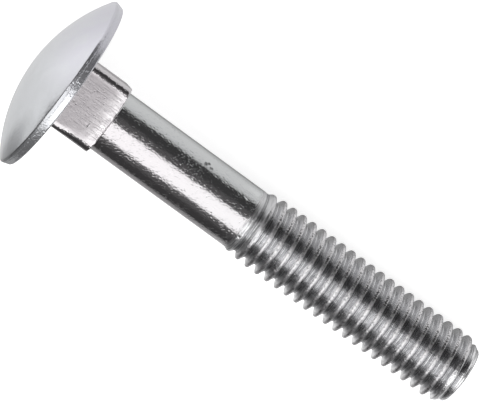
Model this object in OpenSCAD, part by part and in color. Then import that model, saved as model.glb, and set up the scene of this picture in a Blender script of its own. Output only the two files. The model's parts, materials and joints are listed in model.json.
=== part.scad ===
// Carriage bolt: a low domed head on a square neck, a plain shank and a rolled
// right-hand thread, forged and rolled from one length of wire.
// The bolt's own axis runs from the flat seat under the head (axial place 0)
// to the end of the thread. Each piece is drawn along that axis, and lie_down
// then lays the finished bolt on a level surface, resting on the edge of its
// head and on its last full turns of thread.
// Origin: on that surface, below the middle of the bolt. +Z is up, the head
// lies towards -X and the thread towards +X.

/* [Head] */
// Diameter of the head
head_d = 20; // [17:0.1:23]
// Height of the dome above the upright edge of the head
dome_h = 3.15; // [2.4:0.01:4.2]
// Height of the upright edge of the head
edge_h = 1.03; // [0.9:0.01:2]
// Rounding where the dome meets the edge
edge_top_r = 0.35; // [0.1:0.01:0.6]
// Rounding where the edge meets the seat
edge_seat_r = 0.25; // [0.1:0.01:0.4]

/* [Square neck] */
// Width of the square neck across its flats
neck_w = 7.85; // [7.5:0.01:8.6]
// Depth of the square neck below the seat
neck_depth = 5.4; // [4:0.05:7]
// Rounding of the four long corners of the neck
neck_corner_r = 0.9; // [0.3:0.01:1.2]
// How far the neck's corners are set back at its outer end
neck_setback = 0.2; // [0.1:0.01:0.8]

/* [Shank] */
// Length of the bolt under its head
bolt_len = 50.6; // [42:0.1:80]
// Diameter of the plain shank
shank_d = 6.97; // [6.75:0.01:7.2]

/* [Thread] */
// Diameter over the thread's crests
thread_d = 7.83; // [7.6:0.01:8]
// Distance from one turn of the thread to the next
thread_pitch = 1.25; // [1:0.05:1.5]
// Depth of the thread's groove
thread_depth = 0.755; // [0.6:0.005:0.85]
// Length of the thread from the end of the plain shank to the end of the bolt
thread_len = 29.3; // [15:0.1:34]
// Turns over which the groove deepens where the thread starts
groove_runout = 0.7; // [0.3:0.05:1.5]
// Turns over which the crest rises where the thread starts
crest_runout = 2.2; // [1:0.05:4]
// Diameter of the flat end of the bolt
tip_d = 5.9; // [5.2:0.05:6.2]
// Length over which the crests are rounded down to the flat end
tip_len = 2.5; // [1.2:0.05:4]
// Angle round the bolt, counted from one flat of the neck, at which the thread ends
thread_end_angle = 200; // [0:10:350]

/* [Rest] */
// Angle between the neck's upper flat and the surface that the bolt lies on
rest_roll = 23; // [0:1:45]

/* [Hidden] */
$fn = 96;

// How far one form reaches into the next so that they join
overlap = 0.4;

// The head's dome is part of a ball
head_r = head_d / 2;
dome_r = (head_r * head_r + dome_h * dome_h) / (2 * dome_h);
dome_centre = dome_r - dome_h - edge_h;
edge_top_centre = dome_centre - sqrt(pow(dome_r - edge_top_r, 2) - pow(head_r - edge_top_r, 2));
edge_top_angle = atan2(edge_top_centre - dome_centre, head_r - edge_top_r);
dome_steps = 24;
edge_steps = 6;

// The outermost reach of the neck's corners, and the cone that sets them back
corner_reach = (neck_w / 2 - neck_corner_r) * sqrt(2) + neck_corner_r;
setback_outer_r = corner_reach + 0.2;

// The thread is one skin over a grid: columns run round the bolt and rows run
// along it, each row rising by one pitch in a full turn. A turn has four rows,
// the two edges of the crest and the two edges of the root.
columns = 36;
column_angle = 360 / columns;
rows_a_turn = 4;
crest_w = 0.18 * thread_pitch;
root_w = 0.16 * thread_pitch;
crest_r = thread_d / 2;
root_r = crest_r - thread_depth;
shank_r = shank_d / 2;
shank_end = bolt_len - thread_len;
tip_r = tip_d / 2;

// The skin starts just inside the shank and a hair under its radius, goes
// straight past the shank's end, and its last crest stops just short of the
// flat end of the bolt
skin_r = shank_r - 0.015;
straight_len = 0.08;
start_gap = 0.15;
end_gap = 0.04;
crest_start = 0.7;
groove_start = 0.6;
crest_rise = 0.6;
tip_curve = 2.2;
turns = floor((thread_len - start_gap - end_gap - crest_w) / thread_pitch);
first_crest = bolt_len - end_gap - crest_w / 2 - turns * thread_pitch;
last_row = rows_a_turn * (turns - 1) + 1;
seam_rows = last_row + rows_a_turn + 1;
column_rows = last_row + 1;

function limit(v) = min(1, max(0, v));

// Radius of the crest and of the root, so many turns from the thread's start
function crest_radius(turn) =
    skin_r + (crest_r - skin_r) * pow(limit((turn - crest_start) / crest_runout), crest_rise);
function root_radius(turn) =
    skin_r + (root_r - skin_r) * limit((turn - groove_start) / groove_runout);

// Radius of the rounded end of the thread at an axial place
function tip_radius(place) =
    crest_r - (crest_r - tip_r) * pow(limit((place - bolt_len + tip_len) / tip_len), tip_curve);

// How far a row's edge lies from the middle of its crest
function row_offset(kind) =
    kind == 0 ? -crest_w / 2 :
    kind == 1 ? crest_w / 2 :
    kind == 2 ? (thread_pitch - root_w) / 2 : (thread_pitch + root_w) / 2;

// A point of the thread's skin, at a column and a row
function skin_point(column, row) =
    let (
        kind = row % rows_a_turn,
        turn = floor(row / rows_a_turn) + column / columns,
        place = first_crest + turn * thread_pitch + row_offset(kind),
        full_r = kind < 2 ? crest_radius(turn) : root_radius(turn),
        r = min(full_r, tip_radius(place)),
        angle = thread_end_angle + column * column_angle
    )
    [r * cos(angle), r * sin(angle), place];

// A ring of points that close the skin, half a column out of step with it
function ring(r, place) =
    [for (i = [0:columns - 1])
        let (angle = thread_end_angle + (i + 0.5) * column_angle)
        [r * cos(angle), r * sin(angle), place]];

// The first column goes one turn further than the rest, because the skin
// meets itself there one turn on
function point_at(column, row) =
    column == columns ? row + rows_a_turn :
    column == 0 ? row : seam_rows + (column - 1) * column_rows + row;

thread_points = concat(
    [for (row = [0:seam_rows - 1]) skin_point(0, row)],
    [for (column = [1:columns - 1]) for (row = [0:last_row]) skin_point(column, row)],
    ring(skin_r, shank_end - overlap),
    ring(skin_r, shank_end + straight_len),
    ring(tip_r, bolt_len)
);
first_ring = seam_rows + (columns - 1) * column_rows;
start_ring = first_ring + columns;
end_ring = start_ring + columns;

thread_faces = concat(
    // the skin itself
    [for (column = [0:columns - 1]) for (row = [0:last_row - 1])
        [point_at(column, row), point_at(column, row + 1), point_at(column + 1, row + 1)]],
    [for (column = [0:columns - 1]) for (row = [0:last_row - 1])
        [point_at(column, row), point_at(column + 1, row + 1), point_at(column + 1, row)]],
    // the straight stretch inside and past the shank's end
    [for (i = [0:columns - 1])
        let (next = (i + 1) % columns)
        [first_ring + i, start_ring + i, start_ring + next, first_ring + next]],
    // from there to the first row, and across the seam
    [for (i = [0:columns - 1]) [start_ring + i, point_at(i, 0), point_at(i + 1, 0)]],
    [for (i = [1:columns - 1]) [start_ring + i - 1, point_at(i, 0), start_ring + i]],
    [for (row = [0:rows_a_turn - 1])
        [start_ring + columns - 1, row + 1, row]],
    [[start_ring + columns - 1, 0, start_ring]],
    // from the last row to the end ring, and across the seam
    [for (i = [0:columns - 1])
        [end_ring + i, point_at(i + 1, last_row), point_at(i, last_row)]],
    [for (i = [1:columns - 1])
        [end_ring + i - 1, end_ring + i, point_at(i, last_row)]],
    [for (row = [last_row:last_row + rows_a_turn - 1])
        [end_ring, row, row + 1]],
    [[end_ring, last_row + rows_a_turn, end_ring + columns - 1]],
    // the two flat ends
    [[for (i = [0:columns - 1]) first_ring + i]],
    [[for (i = [columns - 1:-1:0]) end_ring + i]]
);

// How far a point of the thread lies below the axis once the bolt is rolled
function below_axis(p) = p.x * cos(rest_roll) + p.y * sin(rest_roll);

// The tilt at which the bolt rests on the seat edge of its head and on a
// point of the thread, which lies so far along the axis and so far below it
function lean(along, below) =
    let (
        rise = head_r - edge_seat_r - below,
        run = along + edge_seat_r
    )
    acos(-edge_seat_r / norm([rise, run])) - atan2(run, rise);

rest_tilt = min([for (p = thread_points) lean(p.z, below_axis(p))]);
axis_height = (head_r - edge_seat_r) * cos(rest_tilt) + edge_seat_r * (1 - sin(rest_tilt));
reach_head = dome_centre * cos(rest_tilt) - dome_r;
reach_tip = bolt_len * cos(rest_tilt) + tip_r * sin(rest_tilt);

function arc(centre, r, from, to, steps) =
    [for (i = [0:steps])
        let (angle = from + (to - from) * i / steps)
        centre + r * [cos(angle), sin(angle)]];

module lie_down() {
    translate([-(reach_head + reach_tip) / 2, 0, axis_height])
        rotate([0, 90 + rest_tilt, 0])
            rotate([0, 0, -rest_roll])
                children();
}

module head() {
    rotate_extrude()
        polygon(concat(
            [[0, 0]],
            arc([head_r - edge_seat_r, -edge_seat_r], edge_seat_r, 90, 0, edge_steps),
            arc([head_r - edge_top_r, edge_top_centre], edge_top_r, 0, edge_top_angle, edge_steps),
            arc([0, dome_centre], dome_r, edge_top_angle, -90, dome_steps)
        ));
}

module neck_section() {
    flat_w = neck_w - 2 * neck_corner_r;
    square([neck_w, flat_w], center = true);
    square([flat_w, neck_w], center = true);
    for (x = [-1, 1], y = [-1, 1])
        translate([x, y] * flat_w / 2)
            circle(r = neck_corner_r, $fn = 48);
}

module neck() {
    intersection() {
        translate([0, 0, -overlap])
            linear_extrude(neck_depth + overlap)
                neck_section();
        union() {
            translate([0, 0, -overlap])
                cylinder(r = setback_outer_r, h = neck_depth - neck_setback + overlap);
            translate([0, 0, neck_depth - neck_setback])
                cylinder(r1 = setback_outer_r, r2 = shank_r, h = neck_setback);
        }
    }
}

module shank() {
    translate([0, 0, neck_depth - overlap])
        cylinder(r = shank_r, h = shank_end - neck_depth + overlap);
}

module thread() {
    polyhedron(points = thread_points, faces = thread_faces, convexity = 10);
}

module carriage_bolt() {
    color([0.78, 0.79, 0.81])
        lie_down() {
            head();
            neck();
            shank();
            thread();
        }
}

carriage_bolt();
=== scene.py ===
# %% [markdown]
# # A carriage bolt at rest
# A carriage bolt is one length of wire: one end is hammered into a low dome and a
# square neck, the other is rolled between grooved dies until a thread stands up from
# it, and the whole is then plated with zinc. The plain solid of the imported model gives
# the frame, and one finer skin is worked out around the same axis and drawn in its place.

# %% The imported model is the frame
import json
import math
from functools import partial
from types import SimpleNamespace

import bpy
import numpy as np
from mathutils import Matrix


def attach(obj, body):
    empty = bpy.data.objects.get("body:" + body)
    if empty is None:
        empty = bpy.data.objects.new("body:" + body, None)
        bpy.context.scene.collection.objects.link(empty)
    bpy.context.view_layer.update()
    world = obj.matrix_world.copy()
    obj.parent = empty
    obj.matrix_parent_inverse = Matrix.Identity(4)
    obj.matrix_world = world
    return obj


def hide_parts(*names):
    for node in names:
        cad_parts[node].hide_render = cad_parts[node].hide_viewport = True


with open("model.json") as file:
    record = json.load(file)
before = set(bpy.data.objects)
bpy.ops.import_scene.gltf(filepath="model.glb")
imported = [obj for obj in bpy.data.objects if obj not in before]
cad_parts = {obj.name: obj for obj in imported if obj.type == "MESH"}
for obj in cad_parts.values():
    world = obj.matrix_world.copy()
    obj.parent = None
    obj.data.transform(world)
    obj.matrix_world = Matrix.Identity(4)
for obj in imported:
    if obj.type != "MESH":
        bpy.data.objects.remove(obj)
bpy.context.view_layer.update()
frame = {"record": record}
NODE = "carriage_bolt"
MM = 0.001

# %% [markdown]
# ## The bolt's own axis
# The bolt lies on the edge of its head and on its thread, so its axis dips. Every form
# on it is round that axis, and is easiest to write in the bolt's own coordinates: x and
# y across, and the place along the axis counted from the seat under the head. The
# seat's mount in the record gives the axis, so that its dip isn't copied by hand. ROLL is
# how far the bolt is turned about its axis, which lays one corner of the neck uppermost.

# %% The bolt's own coordinates
mounts = {mount["name"]: mount for mount in frame["record"]["mounts"]}
axis = np.array(mounts["head_seat"]["axis"])
axis /= np.linalg.norm(axis)
seat = np.array(mounts["head_seat"]["pos_m"]) * [1, 0, 1]
across = np.array([0.0, 1.0, 0.0])
upward = np.cross(axis, across)
ROLL = math.radians(23)
flat_side = -math.cos(ROLL) * upward - math.sin(ROLL) * across
next_side = np.cross(axis, flat_side)
to_row = Matrix(
    [[*(MM * np.array([flat_side[i], next_side[i], axis[i]])), seat[i]] for i in range(3)]
    + [[0, 0, 0, 1]]
)
print("axis dips by", round(math.degrees(math.asin(-axis[2])), 2), "degrees")

# %% [markdown]
# ## Sizes
# These are the sizes of an M8 x 50 bolt, in millimetres, as the solid has them, but for
# two that only this finer skin shows: the rounding of the rim is a little larger, and
# the head's edge narrows towards the seat by EDGE_DRAFT, as on a head struck in a die.

# %% Sizes in millimetres
HEAD_R = 10.0
DOME_H = 3.15
EDGE_H = 1.03
EDGE_TOP_R = 0.38
EDGE_SEAT_R = 0.25
EDGE_DRAFT = 0.18
NECK_W = 7.85
NECK_DEPTH = 5.4
NECK_CORNER_R = 0.9
NECK_SETBACK = 0.2
LENGTH = 50.6
SHANK_R = 3.485
THREAD_LEN = 29.3
CREST_R = 3.915
ROOT_R = 3.16
PITCH = 1.25
TIP_R = 2.95
TIP_LEN = 2.5
THREAD_START = LENGTH - THREAD_LEN
dome_r = (HEAD_R**2 + DOME_H**2) / (2 * DOME_H)
dome_centre = dome_r - DOME_H - EDGE_H
print("the dome is part of a ball of radius", round(dome_r, 2), "mm")

# %% [markdown]
# ## One skin from pole to pole
# The bolt has no seams, so its skin is one grid: columns run from the middle of the
# dome to the middle of the flat end, and rings run round it. Each form below gives its
# rings as two arrays, the radius and the place of every column. The neck's corners
# turn sharply, so its columns crowd together towards 45, 135, 225 and 315 degrees.

# %% Columns round the bolt
COLUMNS = 132
CORNERS = 4
CROWDING = 0.62
THREAD_END_ANGLE = math.radians(200)
angle = THREAD_END_ANGLE + 2 * np.pi * np.arange(COLUMNS) / COLUMNS
neck_angle = angle + CROWDING / CORNERS * np.sin(CORNERS * angle)


def arc(centre, r, start, end, steps):
    """Points of an arc: the centre plus r times (cos, sin) of even angles, given in degrees."""
    turn = np.radians(np.linspace(start, end, steps + 1))
    return np.stack([centre[0] + r * np.cos(turn), centre[1] + r * np.sin(turn)], axis=1)


def rings(outline):
    """The rings of a form that is round: every column takes the outline's radius and place."""
    outline = np.asarray(outline)
    return np.repeat(outline[:, None, :], COLUMNS, axis=1)


print("columns round the bolt:", COLUMNS)

# %% [markdown]
# ## Head
# The dome is a shallow cap of a ball. It was struck in a die, which left a soft edge at
# the rim and a narrow band below it that draws in towards the seat. It could be cut
# from a scaled sphere. A profile of arcs, turned round the axis, keeps each radius as it
# is named, and has close rows where the curve is tight, so that it shades cleanly.

# %% Head
DOME_STEPS = 44
RIM_STEPS = 7
SEAT_EDGE_STEPS = 6
BAND_STEPS = 5
edge_top_place = dome_centre - math.sqrt((dome_r - EDGE_TOP_R) ** 2 - (HEAD_R - EDGE_TOP_R) ** 2)
rim_angle = math.degrees(math.atan2(edge_top_place - dome_centre, HEAD_R - EDGE_TOP_R))
seat_r = HEAD_R - EDGE_DRAFT - EDGE_SEAT_R
dome = arc([0, dome_centre], dome_r, -90, rim_angle, DOME_STEPS)
rim_top = arc([HEAD_R - EDGE_TOP_R, edge_top_place], EDGE_TOP_R, rim_angle, 0, RIM_STEPS)
rim_seat = arc([seat_r, -EDGE_SEAT_R], EDGE_SEAT_R, 0, 90, SEAT_EDGE_STEPS)
band = np.linspace(rim_top[-1], rim_seat[0], BAND_STEPS + 1)[1:-1]
head = rings(np.concatenate([dome, rim_top[1:], band, rim_seat]))
print("rings in the head:", len(head))

# %% [markdown]
# ## Neck
# The neck is a square length that bites into the wood and keeps the bolt from turning.
# It could be a cube with bevelled edges, but then it wouldn't share the head's columns.
# Here its radius depends on the angle: the distance to the flat, or near a corner the
# distance to the corner's small circle. Its outer end is a shallow cone that falls back
# at the corners, with a worn, uneven lip. One corner was pressed rounder than the rest.

# %% The neck's outline
# The pressed corner's radius differs from the rest by PRESSED_LESS near the head, and
# grows by PRESSED_MORE between two places on the way to the outer end.
PRESSED_CORNER = math.radians(225)
PRESSED_LESS = -0.2
PRESSED_MORE = 0.6
PRESSED_FROM = 0.8
PRESSED_TO = 3.6
QUARTER = np.pi / 2


def square_radius(turn, width, corner_r):
    """Distance from the middle to a rounded square, in the direction turn.

    Over a flat it is half the width divided by the cosine of the angle off the flat's
    middle; over a corner it is the far crossing of a ray with the corner's circle.
    """
    off_flat = np.abs((turn + QUARTER / 2) % QUARTER - QUARTER / 2)
    half = width / 2
    on_flat = half / np.cos(off_flat)
    centre = math.sqrt(2) * (half - corner_r)
    off_corner = QUARTER / 2 - off_flat
    inside = corner_r**2 - (centre * np.sin(off_corner)) ** 2
    on_corner = centre * np.cos(off_corner) + np.sqrt(np.maximum(inside, 0))
    return np.where(np.tan(off_flat) * half < half - corner_r, on_flat, on_corner)


def smooth(x, low, high):
    """0 below low, 1 above high, and a smooth rise between them."""
    share = np.clip((x - low) / (high - low), 0, 1)
    return share * share * (3 - 2 * share)


def wall_radius(place):
    """The neck's outline at a place: one corner is pressed rounder towards the outer end."""
    pressed = np.cos(neck_angle - PRESSED_CORNER) > math.cos(QUARTER / 2)
    rounder = PRESSED_LESS + PRESSED_MORE * smooth(place, PRESSED_FROM, PRESSED_TO)
    return square_radius(neck_angle, NECK_W, NECK_CORNER_R + np.where(pressed, rounder, 0))


def ripple(turn, waves, seed):
    """A sum of sine waves round the bolt, each with its own phase, between about -1 and 1."""
    random = np.random.default_rng(seed)
    phases = random.uniform(0, 2 * np.pi, len(waves))
    sizes = random.uniform(0.5, 1, len(waves))
    total = sum(s * np.sin(w * turn + p) for w, s, p in zip(waves, sizes, phases))
    return total / sizes.sum()


corner_reach = math.sqrt(2) * (NECK_W / 2 - NECK_CORNER_R) + NECK_CORNER_R
print("the neck's corners reach", round(corner_reach, 2), "mm from the axis")

# %% Neck
# Small roundings and an uneven lip, in millimetres. The shares say how far each ring is
# on its way from one form to the next, and the turns where it is on a rounding.
FOOT_R = 0.18
LIP_R = 0.16
SHANK_FOOT_R = 0.12
CONE_PAST_CORNER = 0.2
LIP_WAVE = 0.09
LIP_WAVES = [7, 16, 27, 38, 47]
LIP_SEED = 3
SEAT_SHARES = np.array([0.02, 0.25, 0.5, 0.75, 0.98])
SIDE_SHARES = [0.03, *np.linspace(0.06, 0.94, 12), 0.97, 1]
END_SHARES = [0.05, 0.35, 0.7, 1]
FOOT_TURNS = np.radians([0, 18, 36, 54, 72, 90])
LIP_TURNS = np.radians([15, 30, 45, 60, 75, 90])
SHANK_FOOT_TURNS = np.radians([30, 60, 90])


def ring_of(r, place):
    """Puts a ring's radii and places together; either may be one number for the whole ring."""
    return np.stack(np.broadcast_arrays(r, place, neck_angle)[:2], axis=1)


wall = wall_radius(NECK_DEPTH)
foot_wall = wall_radius(0)
slope = NECK_SETBACK / (corner_reach + CONE_PAST_CORNER - SHANK_R)
lip_place = NECK_DEPTH - slope * (wall - SHANK_R) + LIP_WAVE * ripple(angle, LIP_WAVES, LIP_SEED)
seat_ring = [ring_of(seat_r + (foot_wall + FOOT_R - seat_r) * share, 0) for share in SEAT_SHARES]
foot = [
    ring_of(foot_wall + FOOT_R * (1 - math.sin(turn)), FOOT_R * (1 - math.cos(turn)))
    for turn in FOOT_TURNS
]
side = [
    ring_of(wall_radius(NECK_DEPTH * share), FOOT_R + (lip_place - LIP_R - FOOT_R) * share)
    for share in SIDE_SHARES
]
lip = [
    ring_of(wall - LIP_R * (1 - math.cos(turn)), lip_place - LIP_R * (1 - math.sin(turn)))
    for turn in LIP_TURNS
]
end_r = wall - LIP_R
end_face = [
    ring_of(
        end_r + (SHANK_R + SHANK_FOOT_R - end_r) * share,
        lip_place + (NECK_DEPTH - lip_place) * share,
    )
    for share in END_SHARES
]
shank_foot = [
    ring_of(
        SHANK_R + SHANK_FOOT_R * (1 - math.sin(turn)),
        NECK_DEPTH + SHANK_FOOT_R * (1 - math.cos(turn)),
    )
    for turn in SHANK_FOOT_TURNS
]
neck = np.array([*seat_ring, *foot, *side, *lip, *end_face, *shank_foot])
print("rings in the neck:", len(neck))

# %% [markdown]
# ## Shank
# The plain shank is the wire before rolling. It is thinner than the thread, because
# rolling lifts the crests out of the same wire. Two rings would draw it; it has more, so
# that the neck's crowded columns can spread out evenly again before the thread.

# %% Shank
SHANK_RINGS = 34
PAST_NECK = 0.25
PAST_SHANK = 0.05
skin_start = THREAD_START + PAST_SHANK
shank_places = np.linspace(NECK_DEPTH + PAST_NECK, skin_start, SHANK_RINGS)
shank = rings(np.stack([np.full_like(shank_places, SHANK_R), shank_places], axis=1))
print("rings in the shank:", len(shank))

# %% [markdown]
# ## Thread
# A thread is one profile carried round a helix: crest, flank, root, flank. The last
# point of each profile is the first point of the profile one full turn further on, so
# the ribbon closes on itself. The groove deepens over the first turns, and the crest
# rises more slowly, as it does where the rolling dies run out. A Screw modifier could
# carry the profile too, but not let the groove and the crest begin apart.

# %% The profile of one pitch
CREST_W = 0.21 * PITCH
ROOT_W = 0.16 * PITCH
CREST_ROUND = 0.16
ROOT_ROUND = 0.15
ROUND_STEPS = 4
FLANK_STEPS = 3
depth = CREST_R - ROOT_R
flank = math.atan2(depth, (PITCH - CREST_W - ROOT_W) / 2)


def rounded_corner(corner, r, out_angle, in_angle, steps):
    """An arc of radius r that touches both lines through a corner.

    The two angles are those of the lines' normals. The centre lies on the line halfway
    between them, at r divided by the cosine of half the angle from one to the other.
    """
    half = (in_angle - out_angle) / 2
    middle = (in_angle + out_angle) / 2
    reach = r / math.cos(half)
    centre = [corner[0] - reach * math.cos(middle), corner[1] - reach * math.sin(middle)]
    return arc(centre, r, math.degrees(out_angle), math.degrees(in_angle), steps)


# Half a pitch, from the middle of the crest to the middle of the root, as (place, height)
out, flank_out = np.pi / 2, np.pi / 2 - flank
crest_arc = rounded_corner([CREST_W / 2, depth], CREST_ROUND, out, flank_out, ROUND_STEPS)
root_corner = [(PITCH - ROOT_W) / 2, 0]
root_arc = rounded_corner(root_corner, ROOT_ROUND, flank_out + np.pi, out + np.pi, ROUND_STEPS)
flank_line = np.linspace(crest_arc[-1], root_arc[0], FLANK_STEPS + 1)[1:-1]
half_profile = np.concatenate([crest_arc, flank_line, root_arc])
profile_place = np.concatenate([-half_profile[::-1, 0], half_profile[:, 0]])
profile_height = np.concatenate([half_profile[::-1, 1], half_profile[:, 1]]) / depth
print("points in one pitch:", len(profile_place))

# %% How the thread starts and ends
# Starts and run-outs are counted in turns from the first crest, the rise and the curve
# are powers, and the rest are millimetres. The crests lie CREST_SHIFT nearer the tip
# than the solid's flat ones.
CREST_START = 0.7
CREST_RUNOUT = 2.2
CREST_RISE = 0.6
GROOVE_START = 0.6
GROOVE_RUNOUT = 0.7
TIP_CURVE = 2.2
TIP_BLEND = 0.05
END_ROUND = 0.3
CREST_SHIFT = 0.13
START_GAP = 0.15
END_GAP = 0.04
last_crest = LENGTH - END_GAP - CREST_W / 2
whole_turns = math.floor((THREAD_LEN - START_GAP - END_GAP - CREST_W) / PITCH)
first_crest = last_crest - whole_turns * PITCH + CREST_SHIFT


def thread_skin(turn):
    """The ribbon's points, one profile for each turn given.

    The place is that of the crest plus the profile's; the radius goes from the root's
    to the crest's by the profile's height; both radii start at the shank's; and near
    the end the radius is the smaller, softly, of that and the rounded tip's. The half
    of a profile that comes before its crest lies in the groove of the turn before, so
    there the groove's depth is counted one turn back.
    """
    rise = np.clip((turn - CREST_START) / CREST_RUNOUT, 0, 1) ** CREST_RISE
    groove_turn = turn[:, None] - (profile_place < 0)
    fall = np.clip((groove_turn - GROOVE_START) / GROOVE_RUNOUT, 0, 1)
    crest = SHANK_R + (CREST_R - SHANK_R) * rise[:, None]
    root = SHANK_R + (ROOT_R - SHANK_R) * fall
    place = first_crest + PITCH * turn[:, None] + profile_place
    r = root + (crest - root) * profile_height
    return soft_min(r, tip_radius(place), TIP_BLEND), place


def tip_radius(place):
    """Radius of the rounded tip: the crest's, less a power of how far the place is into the tip."""
    into = np.clip((place - LENGTH + TIP_LEN) / TIP_LEN, 0, 1)
    return CREST_R + TIP_BLEND - (CREST_R + TIP_BLEND - TIP_R) * into**TIP_CURVE


def soft_min(a, b, blend):
    """The smaller of two lengths, rounded where they are less than blend apart."""
    return (a + b - np.sqrt((a - b) ** 2 + blend**2)) / 2


skin_end = LENGTH - END_ROUND
first_turn = math.floor((skin_start - first_crest) / PITCH) - 1
last_turn = math.ceil((skin_end - first_crest) / PITCH) + 1
steps = np.arange(first_turn * COLUMNS, (last_turn + 1) * COLUMNS + 1)
thread_r, thread_place = thread_skin(steps / COLUMNS)
print("turns of thread:", round((LENGTH - THREAD_START) / PITCH, 1))

# %% [markdown]
# ## Tip
# The thread ends in the flat face that was cut when the wire was sheared to length,
# inside a rounded edge.

# %% Tip
EDGE_STEPS = 6
FACE_STEPS = 11
skin_end_r = float(tip_radius(np.array(skin_end)))
edge = arc([skin_end_r - END_ROUND, skin_end], END_ROUND, 0, 90, EDGE_STEPS)
face = np.linspace(edge[-1], [0, LENGTH], FACE_STEPS + 1)[1:]
tip = rings(np.concatenate([edge, face]))
print("the tip's face is", round(2 * (skin_end_r - END_ROUND), 2), "mm across")

# %% [markdown]
# ## The mesh
# The rings and the ribbon are put in one list of points. Each ring is a row of point
# numbers, and so is each profile of the ribbon, and neighbouring rows give faces. Where
# the ribbon runs past the ring that it starts or ends at, its points are replaced by
# that ring's, and faces that lose a corner in this way become triangles or vanish. This
# joins a helix to a flat ring without a gap, and it closes both poles as well. The head
# was not struck quite in line with the wire: head and neck lie a little to one side of
# the axis, by HEAD_OFF and NECK_OFF.

# %% Rings and ribbon
HEAD_OFF = 0.17
NECK_OFF = 0.07
STRAIGHT_FROM = NECK_DEPTH + 0.1
STRAIGHT_TO = NECK_DEPTH - 0.3
off_side = [-math.sin(ROLL), math.cos(ROLL)]


def ring_points(ring, crowd, off_axis):
    """A ring's points in the bolt's coordinates: radius at the column's angle, and place.

    The columns crowd towards the neck's corners by the share crowd, and the ring's
    middle lies off the axis by off_axis.
    """
    turn = angle + (neck_angle - angle) * crowd
    x = ring[:, 0] * np.cos(turn) + off_axis * off_side[0]
    y = ring[:, 0] * np.sin(turn) + off_axis * off_side[1]
    return np.stack([x, y, ring[:, 1]], axis=1)


def quads_between(rows):
    """Faces between neighbouring rows of point numbers, where columns close on themselves."""
    lower, upper = rows[:-1], rows[1:]
    corners = [lower, np.roll(lower, -1, axis=1), np.roll(upper, -1, axis=1), upper]
    return np.stack(corners, axis=-1).reshape(-1, 4)


def ribbon_quads(numbers):
    """Faces of the ribbon: each profile and the next, up to the next turn's first point."""
    wide = np.concatenate([numbers[:-COLUMNS], numbers[COLUMNS:, :1]], axis=1)
    corners = [wide[:-1, :-1], wide[1:, :-1], wide[1:, 1:], wide[:-1, 1:]]
    return np.stack(corners, axis=-1).reshape(-1, 4)


before = [*head[1:], *neck, *shank]
after = [*tip[:-1]]
on_head_rings, on_tip_rings = np.zeros(len(head) - 1), np.zeros(len(after))
square_rings = np.ones(len(neck) - len(seat_ring))
spreading = np.linspace(1, 0, len(shank))
crowd = np.concatenate([on_head_rings, SEAT_SHARES, square_rings, spreading, on_tip_rings])
neck_off = NECK_OFF * smooth(neck[:, 0, 1], STRAIGHT_FROM, STRAIGHT_TO)
neck_off[: len(seat_ring)] += (HEAD_OFF - NECK_OFF) * (1 - SEAT_SHARES)
off_axis = np.concatenate([on_head_rings + HEAD_OFF, neck_off, 0 * spreading, on_tip_rings])
ring_xyz = [ring_points(*ring) for ring in zip(before + after, crowd, off_axis)]
poles = np.array([[0, 0, head[0, 0, 1]], [0, 0, LENGTH]])
turn_angle = THREAD_END_ANGLE + 2 * np.pi * steps / COLUMNS
ribbon_x = thread_r * np.cos(turn_angle)[:, None]
ribbon_y = thread_r * np.sin(turn_angle)[:, None]
ribbon_xyz = np.stack([ribbon_x, ribbon_y, thread_place], axis=-1)
points = np.concatenate([poles, *ring_xyz, ribbon_xyz.reshape(-1, 3)])
print("rings:", len(ring_xyz), "profiles in the ribbon:", len(ribbon_xyz))

# %% Join them into one mesh
ring_rows = 2 + np.arange(len(ring_xyz) * COLUMNS).reshape(-1, COLUMNS)
before_rows = np.concatenate([np.full((1, COLUMNS), 0), ring_rows[: len(before)]])
after_rows = np.concatenate([ring_rows[len(before) :], np.full((1, COLUMNS), 1)])
own = 2 + ring_rows.size + np.arange(ribbon_xyz[..., 0].size).reshape(thread_place.shape)
column = (steps % COLUMNS)[:, None]
numbers = np.where(thread_place <= skin_start, before_rows[-1][column], own)
numbers = np.where(thread_place >= skin_end, after_rows[0][column], numbers)

quads = np.concatenate(
    [quads_between(before_rows), quads_between(after_rows), ribbon_quads(numbers)]
)
triangles = np.concatenate([quads[:, [0, 1, 2]], quads[:, [0, 2, 3]]])
whole = np.all(triangles != np.roll(triangles, -1, axis=1), axis=1)
used, triangles = np.unique(triangles[whole], return_inverse=True)
triangles = triangles.reshape(-1, 3)
matrix = np.array(to_row)
points = points[used] @ matrix[:3, :3].T + matrix[:3, 3]


def mesh_object(name, points, triangles, attributes):
    """A smooth mesh object with its place in its points, and numbers kept for each point."""
    mesh = bpy.data.meshes.new(name)
    mesh.vertices.add(len(points))
    mesh.vertices.foreach_set("co", points.astype(np.float32).ravel())
    mesh.loops.add(triangles.size)
    mesh.loops.foreach_set("vertex_index", triangles.astype(np.int32).ravel())
    mesh.polygons.add(len(triangles))
    mesh.polygons.foreach_set("loop_start", np.arange(0, triangles.size, 3, dtype=np.int32))
    mesh.update(calc_edges=True)
    mesh.shade_smooth()
    for key, values in attributes.items():
        kept = mesh.attributes.new(key, "FLOAT", "POINT")
        kept.data.foreach_set("value", values.astype(np.float32))
    made = bpy.data.objects.new(name, mesh)
    bpy.context.scene.collection.objects.link(made)
    return made


def level_along(step, start, ramps):
    """A level that begins at start and changes by rise over each ramp (low, high, rise)."""
    level = start
    for low, high, rise in ramps:
        level = level + step(low, high) * rise
    return level


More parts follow.
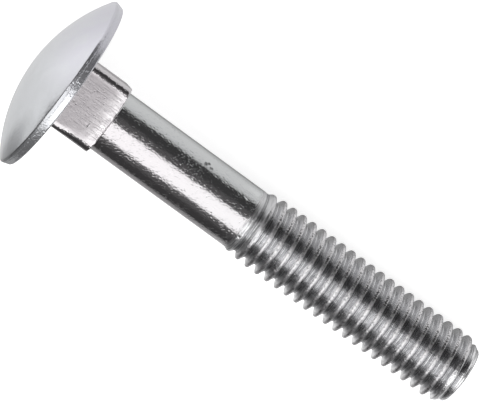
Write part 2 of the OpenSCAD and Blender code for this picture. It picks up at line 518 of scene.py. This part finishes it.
# Depth of the painted shade low on the flanks and in the roots, by mm past the crest
SHADE_LOW_ON_FLANK = (
    1.25,
    [(-0.61, -0.53, -1.25), (0.3, 0.38, 1), (0.47, 0.53, -0.5), (0.55, 0.61, 0.75)],
)
past_crest = np.broadcast_to(profile_place, thread_place.shape).ravel()
shade_low_on_flank = level_along(partial(smooth, past_crest), *SHADE_LOW_ON_FLANK)
shade_low_on_flank = np.concatenate([np.zeros(len(poles) + ring_rows.size), shade_low_on_flank])[used]
bolt = mesh_object("bolt_skin", points, triangles, {"shade_low_on_flank": shade_low_on_flank})
print("points:", len(points), "triangles:", len(triangles))

# %% [markdown]
# ## Shader maths
# A wrapped socket lets a pattern be written as a sum or a product, and each operation
# then adds its own Math node. One method adds every other kind of node.

# %% Node helpers
class Number:
    """A number that changes over the surface: a socket whose operators add Math nodes."""

    def __init__(self, nodes, socket):
        self.nodes = nodes
        self.socket = socket

    def math(self, operation, *values):
        made = self.nodes.add("ShaderNodeMath", {"operation": operation}, dict(enumerate(values)))
        return Number(self.nodes, made.outputs[0])

    def __add__(self, other):
        return self.math("ADD", self, other)

    def __mul__(self, other):
        return self.math("MULTIPLY", self, other)

    def __sub__(self, other):
        return self.math("SUBTRACT", self, other)

    def __rsub__(self, other):
        return self.math("SUBTRACT", other, self)

    __radd__ = __add__
    __rmul__ = __mul__

    def root(self):
        return self.math("SQRT", self)

    def magnitude(self):
        return self.math("ABSOLUTE", self)

    def least(self, other):
        return self.math("MINIMUM", self, other)

    def step(self, low, high):
        """0 below low, 1 above high, and a smooth rise between them."""
        settings = {"interpolation_type": "SMOOTHSTEP"}
        sockets = {"Value": self, "From Min": low, "From Max": high}
        made = self.nodes.add("ShaderNodeMapRange", settings, sockets)
        return Number(self.nodes, made.outputs[0])


class Nodes:
    """The node tree of a material or the world."""

    def __init__(self, owner):
        owner.use_nodes = True
        self.tree = owner.node_tree
        self.tree.nodes.clear()

    def add(self, kind, settings, sockets):
        """Adds a node of a kind; its settings are set first, then its sockets' values or links."""
        made = self.tree.nodes.new(kind)
        for name, value in settings.items():
            setattr(made, name, value)
        for name, value in sockets.items():
            if isinstance(value, Number):
                value = value.socket
            if isinstance(value, bpy.types.NodeSocket):
                self.tree.links.new(value, made.inputs[name])
            else:
                made.inputs[name].default_value = value
        return made

    def noise(self, vector, scale, detail=2.0, roughness=0.5):
        """Soft random noise, as a number from 0 to 1 about a middle of 0.5."""
        sockets = {"Vector": vector, "Scale": scale, "Detail": detail, "Roughness": roughness}
        return Number(self, self.add("ShaderNodeTexNoise", {}, sockets).outputs["Fac"])

    def cells(self, vector, scale):
        """Distance to the nearest of many scattered points."""
        sockets = {"Vector": vector, "Scale": scale}
        return Number(self, self.add("ShaderNodeTexVoronoi", {}, sockets).outputs["Distance"])

    def vector(self, operation, *values):
        """Adds a Vector Math node and gives its result; a length is a number."""
        made = self.add("ShaderNodeVectorMath", {"operation": operation}, dict(enumerate(values)))
        return made.outputs["Value" if operation == "LENGTH" else "Vector"]

    def mapping(self, vector, scale, location=(0, 0, 0), rotation=(0, 0, 0)):
        """Coordinates that are scaled, turned and moved."""
        sockets = {"Vector": vector, "Scale": scale, "Location": location, "Rotation": rotation}
        return self.add("ShaderNodeMapping", {"vector_type": "POINT"}, sockets).outputs[0]

    def mix(self, factor, a, b):
        """A colour between a and b."""
        sockets = {0: factor, 6: a, 7: b}
        return self.add("ShaderNodeMix", {"data_type": "RGBA"}, sockets).outputs[2]

    def axes(self, vector):
        """The three numbers of a vector."""
        made = self.add("ShaderNodeSeparateXYZ", {}, {"Vector": vector})
        return [Number(self, output) for output in made.outputs]


def material(name):
    made = bpy.data.materials.new(name)
    return made, Nodes(made)


def blend(share, start, end):
    """A number that goes from start to end as share goes from 0 to 1."""
    return start + share * (end - start)


print("node helpers are ready")

# %% [markdown]
# ## Bright zinc
# Bright zinc plate is a mirror with a fine grain: it repeats the light over it in broad
# bands, and the grain makes the edges of those bands ragged. A picture could be wrapped
# round the bolt, but it would stretch at the head and the thread. Patterns worked out in
# the bolt's own millimetres keep one scale everywhere, and each is laid on by region.

# %% [markdown]
# ### Single marks
# A used bolt has a few nicks, pits and stains. Each is a soft spot at a point of the
# surface, which can be placed alone without touching the rest.

# %% Marks on the surface
# Each mark is the angle round the bolt, the place, the radius there, and how far it
# reaches across the surface round the bolt and along it, in millimetres.
DENTS = {
    "nick on a crest": (215.7, 27.95, 3.9, 0.16, 0.22),
    "fold where the thread starts": (208.4, 22.94, 3.6, 0.22, 0.16),
    "dent on the neck": (225, 4.1, 4.3, 0.35, 0.12),
    "scratch on the neck": (201, 3.6, 4.1, 0.4, 0.07),
}
STAINS = {
    "stain on the shank": (138.6, 15.85, 3.485, 0.34, 0.3),
    "stain beside it": (134.5, 16.15, 3.485, 0.24, 0.24),
    "stain past it": (139.5, 16.55, 3.485, 0.2, 0.3),
    "pit beside a crest": (136.9, 29.06, 3.9, 0.12, 0.12),
    "second pit": (146.2, 29.42, 3.9, 0.1, 0.14),
    "third pit": (148.8, 30.23, 3.9, 0.1, 0.12),
    "pit on the neck": (150, 5.0, 4.4, 0.1, 0.2),
}
MARK_EDGE = (0.3, 1.0)


def near_mark(nodes, bolt_mm, mark):
    """1 at the middle of a mark and 0 from its edge outwards."""
    turn, place, r, reach_round, reach_along = mark
    centre = (r * math.cos(math.radians(turn)), r * math.sin(math.radians(turn)), place)
    away = nodes.vector("SUBTRACT", bolt_mm, centre)
    scaled = nodes.vector("DIVIDE", away, (reach_round, reach_round, reach_along))
    return 1 - Number(nodes, nodes.vector("LENGTH", scaled)).step(*MARK_EDGE)


def near_any(nodes, bolt_mm, marks):
    """The sum of several marks."""
    return sum(near_mark(nodes, bolt_mm, mark) for mark in marks.values())


print("dents:", len(DENTS), "stains and pits:", len(STAINS))

# %% [markdown]
# ### Regions
# Each part of the bolt met a different tool. The dome was struck by a smooth die, the
# rim and the neck's corners were squeezed out between dies, the neck's flats slid along
# one, and the thread was rolled. Each region is a number, 1 inside and 0 outside, whose
# edge is the pair of places between which it changes.

# %% Where each finish is
DOME_END = (-1.15, -0.95)
HEAD_END = (-0.1, 0.1)
NECK_START = (0.0, 0.2)
NECK_END = (NECK_DEPTH - 0.1, NECK_DEPTH + 0.1)
SEAT_FROM = (6.5, 7.5)
FLAT_HALF = (2.8, 3.3)
WORN_END = (3.9, 4.9)
THREAD_FROM = (THREAD_START + 1.1, THREAD_START + 1.6)
CREST_FOOT = (CREST_R - 0.2, CREST_R - 0.08)
GROOVE_TOP = (CREST_R - 0.22, CREST_R - 0.08)
RUNOUT_FROM = (THREAD_START + 1.05, THREAD_START + 1.25)
RUNOUT_TO = (THREAD_START + 2.4, THREAD_START + 3.4)
UPPER_SIDE = (0.6, 1.8)
LOWER_SIDE = (-2.6, -1.6)
UPPER_SHANK = (0.4, 1.6)
LINED_SIDE = (0.7, 1.7)
LINED_FROM = (1.2, 2.4)
BRIGHT_FROM = (3.0, 4.9)
BRIGHT_UP_TO = (0.4, 1.0)
ACROSS_HEAD = (0.0, 9.0)
NECK_TO_TIP = (6, 30)


def bolt_places(nodes):
    """The bolt's own coordinates in millimetres: as a vector, and as four numbers."""
    in_row = nodes.add("ShaderNodeTexCoord", {}, {}).outputs["Object"]
    back = to_row.inverted()
    mm = nodes.mapping(in_row, back.to_scale(), back.to_translation(), back.to_euler())
    x, y, place = nodes.axes(mm)
    return SimpleNamespace(mm=mm, x=x, y=y, place=place, r=(x * x + y * y).root())


def bolt_regions(at):
    """A number for each region, 1 inside it and 0 outside, and 1 everywhere for "all"."""
    place, r = at.place, at.r
    narrow = at.x.magnitude().least(at.y.magnitude())
    on = {"all": 1, "dome": 1 - place.step(*DOME_END), "head": 1 - place.step(*HEAD_END)}
    on["rim"] = on["head"] * (1 - on["dome"])
    on["neck"] = place.step(*NECK_START) * (1 - place.step(*NECK_END)) * (1 - r.step(*SEAT_FROM))
    on["flat"] = on["neck"] * (1 - narrow.step(*FLAT_HALF))
    on["corner"] = on["neck"] - on["flat"]
    on["worn end"] = on["flat"] * place.step(*WORN_END)
    on["thread"] = place.step(*THREAD_FROM)
    on["shank"] = (1 - on["head"]) * (1 - on["neck"]) * (1 - on["thread"])
    on["crest"] = on["thread"] * r.step(*CREST_FOOT)
    on["groove"] = on["thread"] * (1 - r.step(*GROOVE_TOP))
    on["runout"] = place.step(*RUNOUT_FROM) * (1 - place.step(*RUNOUT_TO))
    on["upper side"] = at.y.step(*UPPER_SIDE)
    on["upper crest"] = on["crest"] * on["upper side"]
    on["upper groove"] = on["groove"] * on["upper side"]
    on["lower thread"] = on["thread"] * (1 - at.y.step(*LOWER_SIDE))
    return on


def amount(shares, on):
    """The sum of some regions, each times its share."""
    return sum(on[region] * share for region, share in shares.items())


print("the thread's finish begins", round(THREAD_FROM[0], 2), "mm from the seat")

# %% [markdown]
# ### Patterns
# Noise that is stretched one way makes lines: round the bolt in the thread, where the
# rolling dies dragged, and along it on the neck's flats, where the heading die did. The
# nearest of scattered points makes pits. These could be carved into the mesh, but they
# are a few hundredths of a millimetre deep, so the light is all that tells of them.

# %% Patterns
# How many waves of each noise fit into a millimetre. Three numbers stretch it: across
# the bolt twice, and along it.
WAVES = {
    "grain": 2.0,
    "fine grain": 4.5,
    "patches": 0.45,
    "pits": 2.6,
    "pitted patches": 0.6,
    "uneven dome": 0.3,
    "clouds": 0.5,
    "mottle": 1.3,
    "ragged": 7.0,
    "waves": (0.4, 0.15, 0.3),
    "lines round": (0.6, 0.6, 6.0),
    "streaks": (0.7, 0.7, 6.5),
    "lines along": (7.0, 7.0, 0.6),
    "scratches": (6.0, 6.0, 1.1),
}
# Noise is about 0.5 in the middle. A pair of levels turns it into spots, which begin at
# the first and are full at the second.
SPOTS = {
    "patches": (0.42, 0.6),
    "scratches": (0.58, 0.68),
    "pits": (0.06, 0.36),
    "pitted patches": (0.4, 0.6),
    "specks": (0.36, 0.48),
    "crease": (0.35, 0.6),
    "clouds": (0.4, 0.6),
    "mottle": (0.36, 0.6),
    "dark lines": (0.36, 0.46),
    "streaks": (0.36, 0.6),
    "ragged": (0.36, 0.5),
}
ASLANT = (0.6, 0.5, 0.0)
BETWEEN_PATCHES = 0.35
CREASE_PLACE = -0.74
CREASE_HALF = (0.02, 0.1)


def stretched(nodes, mm, name, detail, roughness=0.5):
    """Noise that is stretched by its three numbers."""
    return nodes.noise(nodes.mapping(mm, WAVES[name]), 1.0, detail, roughness)


def spots(nodes, mm, name, detail=2.0, roughness=0.5):
    """Noise turned into spots: 0 between them and 1 inside."""
    return nodes.noise(mm, WAVES[name], detail, roughness).step(*SPOTS[name])


def bolt_patterns(nodes, at, on):
    """The patterns by name, each a number that changes over the surface."""
    aslant = nodes.mapping(at.mm, (1.0, 1.0, 1.0), rotation=ASLANT)
    patches = blend(spots(nodes, at.mm, "patches"), BETWEEN_PATCHES, 1)
    scratches = stretched(nodes, aslant, "scratches", detail=1.0).step(*SPOTS["scratches"])
    pits = 1 - nodes.cells(at.mm, WAVES["pits"]).step(*SPOTS["pits"])
    pits = pits * spots(nodes, at.mm, "pitted patches")
    fine = nodes.noise(at.mm, WAVES["fine grain"], detail=1.0)
    lines_along = stretched(nodes, at.mm, "lines along", detail=3.0, roughness=0.6)
    in_crease = 1 - (at.place - CREASE_PLACE).magnitude().step(*CREASE_HALF)
    return {
        "grain": nodes.noise(at.mm, WAVES["grain"], detail=2.0, roughness=0.6),
        "fine grain": fine,
        "specks": 1 - fine.step(*SPOTS["specks"]),
        "waves": stretched(nodes, aslant, "waves", detail=2.0),
        "lines round": stretched(nodes, at.mm, "lines round", detail=4.0, roughness=0.7),
        "lines along": lines_along,
        "patchy lines along": lines_along * patches,
        "patchy scratches": scratches * patches,
        "pits": pits * (1 - on["dome"]),
        "dents": near_any(nodes, at.mm, DENTS),
        "crease": in_crease * fine.step(*SPOTS["crease"]),
    }


print("the crease in the rim lies", -CREASE_PLACE, "mm above the seat")

# %% [markdown]
# ### Relief and roughness
# The dome is the smoothest, the crests and the squeezed corners are the coarsest. Both
# tables say how much each region adds: the relief in millimetres for each pattern, and
# the roughness as a plain number.

# %% Relief and roughness
RELIEF_MM = {
    "grain": {"all": 0.02, "dome": -0.013, "corner": 0.03},
    "waves": {"dome": 0.06},
    "fine grain": {
        "all": 0.009,
        "dome": -0.005,
        "shank": 0.004,
        "crest": 0.022,
        "upper crest": 0.02,
        "corner": 0.014,
        "flat": 0.003,
        "rim": 0.006,
    },
    "lines round": {"groove": 0.07, "upper groove": -0.04, "runout": 0.05},
    "patchy scratches": {"shank": -0.009},
    "lines along": {"flat": 0.008},
    "patchy lines along": {"flat": 0.024},
    "pits": {"all": -0.018, "rim": -0.01},
    "dents": {"all": -0.07},
    "crease": {"rim": -0.03},
}
ROUGHNESS = {
    "all": 0.16,
    "dome": 0.05,
    "uneven dome": 0.05,
    "rim": 0.1,
    "flat": 0.34,
    "worn end": -0.2,
    "runout": 0.08,
    "groove": 0.06,
    "crest": 0.14,
    "upper crest": -0.04,
    "lower thread": 0.08,
}


def relief(on, pattern):
    """The height of the surface in millimetres: each pattern times its amount."""
    return sum(pattern[name] * amount(shares, on) for name, shares in RELIEF_MM.items())


def roughness(nodes, at, on):
    """The roughness, with soft uneven patches on the dome."""
    uneven_dome = on["dome"] * nodes.noise(at.mm, WAVES["uneven dome"])
    return amount(ROUGHNESS, {**on, "uneven dome": uneven_dome})


print("patterns in the relief:", len(RELIEF_MM))

# %% [markdown]
# ### Colour
# Zinc is a grey metal with a trace of blue. Where the metal under the plate is coarse it
# looks darker or duller, and dirt collects in pits. The dark low on the thread's flanks
# and in its roots is painted shade, the pale grooves are a painted reflection that is
# weaker on the upper side, the bright ends of the neck's flats are a painted highlight,
# and the upper side of the shank has a painted reflection tint. These tones were set
# for this light. The colours are laid over each other in the order of the list.

# %% Colour
PAINT = {
    "next to the neck": (0.69, 0.665, 0.68, 1),
    "next to the tip": (0.68, 0.67, 0.68, 1),
    "head": (0.683, 0.695, 0.715, 1),
    "one side of the head": (0.7, 0.693, 0.755, 1),
    "cloud on the head": (0.72, 0.732, 0.757, 1),
    # The upper side of the shank has a painted reflection tint.
    "reflection tint on the upper shank": (0.665, 0.675, 0.68, 1),
    "flat": (0.6, 0.57, 0.588, 1),
    # The bright ends of the neck's flats are a painted highlight.
    "painted highlight on a flat": (0.92, 0.89, 0.905, 1),
    "line on a flat": (0.3, 0.29, 0.3, 1),
    # The pale grooves are a painted reflection, weaker on the upper side.
    "groove": (0.92, 0.92, 0.93, 1),
    "upper groove": (0.79, 0.79, 0.8, 1),
    "streak": (0.42, 0.42, 0.43, 1),
    "speck on a crest": (0.3, 0.3, 0.31, 1),
    # Painted shade low on the thread's flanks and in its roots
    "painted shade low on a flank": (0.27, 0.27, 0.28, 1),
    "stain": (0.1, 0.1, 0.1, 1),
}
# How strongly a layer covers what is below it, where that isn't all of it
COVER = {
    "clouds": 0.5,
    "least mottle": 0.35,
    "next to the head": 0.5,
    "lines": 0.5,
    "streaks in grooves": 0.6,
    "streaks in the run-out": 0.4,
    "specks": 0.8,
    # How strongly the painted shade covers the flanks
    "flanks": 0.74,
    "specks on flanks": 0.2,
}


def colour(nodes, at, on, pattern):
    """The base colour: two soft changes of tone under a list of layers."""
    place, specks = at.place, pattern["specks"]
    across_head = (at.x * off_side[0] + at.y * off_side[1]).step(*ACROSS_HEAD)
    head = nodes.mix(across_head, PAINT["head"], PAINT["one side of the head"])
    clouds = on["head"] * spots(nodes, at.mm, "clouds", 3.0, 0.6) * COVER["clouds"]
    # The grooves' pale colour is a painted reflection, with less of it on the upper side.
    groove = nodes.mix(on["upper side"], PAINT["groove"], PAINT["upper groove"])
    mottle = blend(spots(nodes, at.mm, "mottle", 3.0, 0.6), COVER["least mottle"], 1)
    # Where the flats take the painted highlight: mottled at the outer end, and half as much next to
    # the head.
    bright = place.step(*BRIGHT_FROM) * mottle
    bright = bright + (1 - place.step(*BRIGHT_UP_TO)) * COVER["next to the head"]
    lines = (1 - pattern["lines along"].step(*SPOTS["dark lines"])) * at.y.step(*LINED_SIDE)
    lines = lines * place.step(*LINED_FROM) * COVER["lines"]
    streaks = 1 - stretched(nodes, at.mm, "streaks", 1.5, 0.6).step(*SPOTS["streaks"])
    streaked = on["groove"] * (1 - on["upper side"]) * COVER["streaks in grooves"]
    streaked = streaked + on["runout"] * COVER["streaks in the run-out"]
    # The attribute holds painted shade low on the thread's flanks and in its roots.
    flank = nodes.add("ShaderNodeAttribute", {"attribute_name": "shade_low_on_flank"}, {})
    shade_low_on_flank = on["thread"] * Number(nodes, flank.outputs["Fac"])
    flank_shade_cover = COVER["flanks"] + specks * COVER["specks on flanks"]
    stain = near_any(nodes, at.mm, STAINS) * spots(nodes, at.mm, "ragged", 2.0, 0.6)
    layers = [
        (on["head"], nodes.mix(clouds, head, PAINT["cloud on the head"])),
        # painted reflection tint on the upper side of the shank
        (on["shank"] * at.y.step(*UPPER_SHANK), PAINT["reflection tint on the upper shank"]),
        (on["flat"], PAINT["flat"]),
        (on["flat"] * bright, PAINT["painted highlight on a flat"]),
        (on["flat"] * lines, PAINT["line on a flat"]),
        (on["groove"], groove),
        (streaked * streaks, PAINT["streak"]),
        (on["crest"] * specks * COVER["specks"], PAINT["speck on a crest"]),
        (shade_low_on_flank * flank_shade_cover, PAINT["painted shade low on a flank"]),
        (stain, PAINT["stain"]),
    ]
    towards_tip = place.step(*NECK_TO_TIP)
    laid = nodes.mix(towards_tip, PAINT["next to the neck"], PAINT["next to the tip"])
    for share, paint in layers:
        laid = nodes.mix(share, laid, paint)
    return laid


print("colours:", len(PAINT))

# %% [markdown]
# ### The finish
# All of it meets in one metal shader, which the bolt alone wears.

# %% Zinc
METALLIC = {"all": 1, "rim": -0.16}


def zinc_plate():
    made, nodes = material("zinc_plate")
    at = bolt_places(nodes)
    on = bolt_regions(at)
    pattern = bolt_patterns(nodes, at, on)
    bump = {"Strength": 1.0, "Distance": MM, "Height": relief(on, pattern)}
    look = {
        "Base Color": colour(nodes, at, on, pattern),
        "Metallic": amount(METALLIC, on),
        "Roughness": roughness(nodes, at, on),
        "Normal": nodes.add("ShaderNodeBump", {}, bump).outputs[0],
    }
    shader = nodes.add("ShaderNodeBsdfPrincipled", {}, look)
    nodes.add("ShaderNodeOutputMaterial", {}, {"Surface": shader.outputs[0]})
    print("nodes in the finish:", len(nodes.tree.nodes))
    return made


bolt.data.materials.append(zinc_plate())
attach(bolt, "root")
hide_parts(NODE)

# %% [markdown]
# ## Table
# The bolt lies on a plain white table, which fills the picture. Polished metal shows its
# surroundings, and what it shows of the table isn't the camera's plain white but a map of
# tones: darker where the bolt and its head would shade the table, and ending
# where a white cover would end, near in front of the bolt and further off behind it. A
# plain white table would be the simpler choice, but the metal would then lose its bands.

# %% Table
# Each tone begins at a level and changes over ramps (from, to, change) along x or y, in
# millimetres from the middle of the bolt. Behind is +y and the head is at -x.
TABLE_W = 6.0
WHITE = 0.8
PAST_COVER = 0.05
BEHIND = (-1.0, 3.0)
PAST_HEAD = (-25.0, -18.0)
THREAD_SIDE = (-3.0, 3.0)
SHADE_BEHIND = (0.2, [(1.5, 6.5, 0.45), (15.0, 60.0, -0.12), (6.0, 9.0, 0.14)])
SHADE_BEFORE = (0.34, [(-22.0, -16.0, 0.11), (-16.0, -9.0, 0.25)])
BRIGHTER_BEHIND = 0.24
CLOSE_BEHIND = ((6.0, 9.0), (10.0, 22.0))
BRIGHTER_BEFORE = 0.15
FAR_BEFORE = (-40.0, -25.0)
UNDER_BOLT = (0.35, [(0.8, 2.6, 0.65)])
MIDDLE_UNDER_BOLT = -1.0
SHADE_OF_HEAD = (1.0, [(-24.0, -20.0, -0.65), (-32.0, -26.0, -0.35)])
SHADE_DEPTH = 0.76
SHADE_FROM = (-90.0, -38.0)
SHADE_CORNER = -40.0
SHADE_SLOPE = 0.2
BEFORE_TO_BEHIND = (-17.0, 1.0)
LEVEL_BEHIND = (1.1, [(-65.0, -22.0, -0.32)])
LEVEL_BEFORE = (1.04, [(-130.0, -55.0, -0.14), (-70.0, -30.0, -0.11)])
COVER_FRONT = (-72.0, -42.0)
COVER_BACK = (120.0, 360.0)
COVER_WIDENS = 55.0
WIDENS_BEFORE = (-66.0, -46.0)
WIDENS_SLOPE = 1.2
WIDENS_AT = -30.0


def table_tones(x, y):
    """How bright the metal sees each point of the table."""
    by_thread = x.step(*THREAD_SIDE)
    close_from, close_to = CLOSE_BEHIND
    close_behind = by_thread * y.step(*close_from) * (1 - y.step(*close_to))
    behind = level_along(y.step, *SHADE_BEHIND) + close_behind * BRIGHTER_BEHIND
    far_before = by_thread * y.step(*FAR_BEFORE)
    before = level_along(y.step, *SHADE_BEFORE) + far_before * BRIGHTER_BEFORE
    beside_bolt = blend(y.step(*BEHIND), before, behind)
    from_middle = (y - MIDDLE_UNDER_BOLT).magnitude()
    beside_bolt = beside_bolt * level_along(from_middle.step, *UNDER_BOLT)
    aslant = y - (x - SHADE_CORNER) * SHADE_SLOPE
    shade = level_along(aslant.step, *SHADE_OF_HEAD) * x.step(*SHADE_FROM) * SHADE_DEPTH
    level_before = level_along(x.step, *LEVEL_BEFORE)
    level_behind = level_along(x.step, *LEVEL_BEHIND)
    past_head = blend(y.step(*BEFORE_TO_BEHIND), level_before, level_behind) * (1 - shade)
    tone = blend(x.step(*PAST_HEAD), past_head, beside_bolt)
    widens = 1 - (x - (y - WIDENS_AT) * WIDENS_SLOPE).step(*WIDENS_BEFORE)
    cover = (y + widens * COVER_WIDENS).step(*COVER_FRONT) * (1 - y.step(*COVER_BACK))
    return blend(cover, PAST_COVER, tone)


def white_table():
    made, nodes = material("white_table")
    place = nodes.add("ShaderNodeTexCoord", {}, {}).outputs["Object"]
    x, y = (number * (1 / MM) for number in nodes.axes(place)[:2])
    path = nodes.add("ShaderNodeLightPath", {}, {})
    white = {"Color": (1, 1, 1, 1)}
    by_camera = Number(nodes, path.outputs["Is Camera Ray"])
    glow = nodes.add("ShaderNodeEmission", {}, {**white, "Strength": by_camera * WHITE})
    paint = nodes.add("ShaderNodeBsdfDiffuse", {}, {"Color": (WHITE, WHITE, WHITE, 1)})
    lit = nodes.add("ShaderNodeAddShader", {}, {0: glow.outputs[0], 1: paint.outputs[0]})
    by_metal = nodes.add("ShaderNodeEmission", {}, {**white, "Strength": table_tones(x, y)})
    parts = {0: path.outputs["Is Glossy Ray"], 1: lit.outputs[0], 2: by_metal.outputs[0]}
    both = nodes.add("ShaderNodeMixShader", {}, parts)
    nodes.add("ShaderNodeOutputMaterial", {}, {"Surface": both.outputs[0]})
    return made


table_corners = np.array([[-1, -1, 0], [1, -1, 0], [1, 1, 0], [-1, 1, 0]]) * TABLE_W / 2
table = mesh_object("table", table_corners, np.array([[0, 1, 2], [0, 2, 3]]), {})
table.data.materials.append(white_table())
print("the table is", TABLE_W, "m wide")

# %% [markdown]
# ## Light
# Polished metal shows its surroundings, so the light decides how it looks. A long soft
# light in two parts hangs over the bolt along its length, the brighter part past the tip.
# Its frame catches a little of the light on both sides, and the room round it is dark.

# %% Light
# Where the lights begin and end, as angles seen from the bolt, and each light's tilt
# sideways and half of its width, in degrees, and how bright it looks
LIGHT_H = 1.6
BEFORE_HEAD = -LIGHT_H * math.tan(math.radians(60))
OVER_TIP = LIGHT_H * math.tan(math.radians(32))
PAST_TIP = LIGHT_H * math.tan(math.radians(78))
LIGHTS = {
    "softbox": (2.2, 29.6, 1.35, BEFORE_HEAD, OVER_TIP),
    "softbox_past_tip": (6.0, 33.4, 1.85, OVER_TIP, PAST_TIP),
    "frame_behind": (-41.0, 13.0, 0.05, BEFORE_HEAD, PAST_TIP),
    "frame_before": (45.0, 13.0, 0.05, BEFORE_HEAD, PAST_TIP),
}
ROOM = (0.052, 0.051, 0.052, 1)


def panel(name, tilt, half_angle, level, start, end):
    """A long light at LIGHT_H, turned sideways by tilt, that looks as bright as level."""
    light = bpy.data.lights.new(name, "AREA")
    light.shape = "RECTANGLE"
    light.size = end - start
    light.size_y = 2 * LIGHT_H * math.tan(math.radians(half_angle))
    light.energy = level * math.pi * light.size * light.size_y
    made = bpy.data.objects.new(name, light)
    turn = math.radians(tilt)
    made.location = ((start + end) / 2, -LIGHT_H * math.sin(turn), LIGHT_H * math.cos(turn))
    made.rotation_euler = (turn, 0, 0)
    made.visible_camera = False
    bpy.context.scene.collection.objects.link(made)


for name, values in LIGHTS.items():
    panel(name, *values)
world = bpy.data.worlds.new("room")
bpy.context.scene.world = world
room = Nodes(world)
wall_colour = room.add("ShaderNodeBackground", {}, {"Color": ROOM, "Strength": 1.0})
room.add("ShaderNodeOutputWorld", {}, {"Surface": wall_colour.outputs[0]})
print("lights:", len(LIGHTS))

# %% [markdown]
# ## Camera
# The camera is far off, so that the bolt hardly narrows with distance, and looks down at
# it from a little behind its head. It is placed from the bolt's own axis: it stands to
# one side by LEAN and towards the head by BACK, and the picture is turned by TURN.

# %% Camera
FOCAL = 525.0
SENSOR = 36.0
CLOSEST = 0.01
FURTHEST = 20
PICTURE_ACROSS = 48.98
LEAN = math.radians(25)
BACK = math.radians(9)
TURN = math.radians(36.09)
AIM_PLACE = 25.91
AIM_RIGHT = 2.949
AIM_DOWN = 3.673
distance = FOCAL / SENSOR * PICTURE_ACROSS * MM
side_view = math.cos(LEAN) * upward + math.sin(LEAN) * across
view = math.cos(BACK) * side_view - math.sin(BACK) * axis
along_picture = axis - (axis @ view) * view
along_picture /= np.linalg.norm(along_picture)
over_picture = np.cross(along_picture, view)
right = math.cos(TURN) * along_picture - math.sin(TURN) * over_picture
up = -math.sin(TURN) * along_picture - math.cos(TURN) * over_picture
target = seat + MM * (AIM_PLACE * axis - AIM_RIGHT * right + AIM_DOWN * up)
eye = target + distance * view
rows = [[right[i], up[i], view[i], eye[i]] for i in range(3)]

camera_data = bpy.data.cameras.new("camera")
camera_data.lens = FOCAL
camera_data.sensor_width = SENSOR
camera_data.clip_start = CLOSEST
camera_data.clip_end = FURTHEST
camera = bpy.data.objects.new("camera", camera_data)
camera.matrix_world = Matrix(rows + [[0, 0, 0, 1]])
bpy.context.scene.collection.objects.link(camera)
bpy.context.scene.camera = camera
bpy.context.scene.view_settings.view_transform = "Standard"
print("the camera is", round(distance, 3), "m away")
